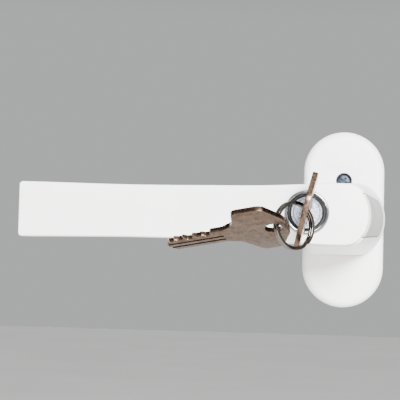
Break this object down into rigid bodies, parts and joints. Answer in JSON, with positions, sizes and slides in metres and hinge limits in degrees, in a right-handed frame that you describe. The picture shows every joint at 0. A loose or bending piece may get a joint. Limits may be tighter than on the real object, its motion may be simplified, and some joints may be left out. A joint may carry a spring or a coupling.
{
  "type": "window lock",
  "caption": "White lever handle on an oblong base for a window or shutter, with a wafer cylinder, key, release button, and a spare key on a split ring.",
  "frame": {"origin": "on the spindle's axis, at the back face of the base, where it lies on the window frame", "axes": "+Y into the window frame along the spindle, +Z along the base's long direction, and -X along the lever from the spindle to its tip"},
  "size_m": [0.1372, 0.1201, 0.0692],
  "materials": {
    "white_coat": "fine textured white powder coat",
    "zinc": "as cast",
    "nylon": "moulded",
    "screw_steel": "zinc plated, slightly blue",
    "white_coat_cast": "fine textured white powder coat",
    "steel": "cold drawn",
    "spring_steel": "oiled",
    "dark_zinc": "dark, as cast",
    "chrome": "polished",
    "zinc_plug": "speckled cast zinc",
    "brass": "milled",
    "grey_plastic": "satin moulded grey",
    "nickel": "nickel plated, lightly worn",
    "dark_nickel": "dark nickel"
  },
  "bodies": {
    "base": {"base_cover": "white_coat", "base_plate": "zinc", "bearing_bush": "nylon", "base_screw_upper": "screw_steel", "base_screw_lower": "screw_steel"},
    "handle": {"lever_casting": "white_coat_cast", "front_cover": "white_coat_cast", "spindle": "steel", "retaining_ring": "spring_steel", "wave_washer": "spring_steel", "lock_housing": "dark_zinc", "lock_bezel": "chrome", "catch_spring": "spring_steel", "button_spring": "spring_steel"},
    "plug": {"lock_plug": "zinc_plug", "wafer_1": "brass", "wafer_2": "brass", "wafer_3": "brass", "wafer_4": "brass", "wafer_5": "brass", "cam_drum": "zinc_plug", "cam_clip": "spring_steel"},
    "bolt": {"lock_bolt": "brass"},
    "button": {"push_button": "grey_plastic"},
    "key": {"inserted_key": "nickel"},
    "ring": {"split_ring": "dark_nickel"},
    "spare": {"spare_key": "nickel"}
  },
  "joints": [
    {"name": "handle_turn", "type": "hinge", "parent": "base", "child": "handle", "pos_m": [0, 0, 0], "axis": [0, -1, 0], "range_deg": [-90, 90], "deforming": ["catch_spring"]},
    {"name": "key_turn", "type": "hinge", "parent": "handle", "child": "plug", "pos_m": [-0.0136, -0.036, 0.0004], "axis": [0, -1, 0], "range_deg": [0, 90]},
    {"name": "bolt_slide", "type": "slide", "parent": "handle", "child": "bolt", "axis": [0, 1, 0], "range_m": [0, 0.0055]},
    {"name": "button_press", "type": "slide", "parent": "handle", "child": "button", "axis": [-1, 0, 0], "range_m": [0, 0.002], "stiffness_N_per_m": 1500, "springref_m": -0.0005, "deforming": ["button_spring", "catch_spring"]},
    {"name": "key_pull", "type": "slide", "parent": "plug", "child": "key", "axis": [0, -1, 0], "range_m": [0, 0.024]},
    {"name": "ring_swing", "type": "hinge", "parent": "key", "child": "ring", "pos_m": [-0.0136, -0.0661, 0.0004], "axis": [0.9724, 0, -0.2334], "range_deg": [-70, 3]},
    {"name": "spare_key_swing", "type": "hinge", "parent": "ring", "child": "spare", "pos_m": [-0.02342, -0.07505, -0.00562], "axis": [0.0628, -0.0115, -0.998], "range_deg": [-85, 10]}
  ],
  "couplings": [
    {"joint": "bolt_slide", "follows": "key_turn", "m_per_rad": 0.0035}
  ]
}
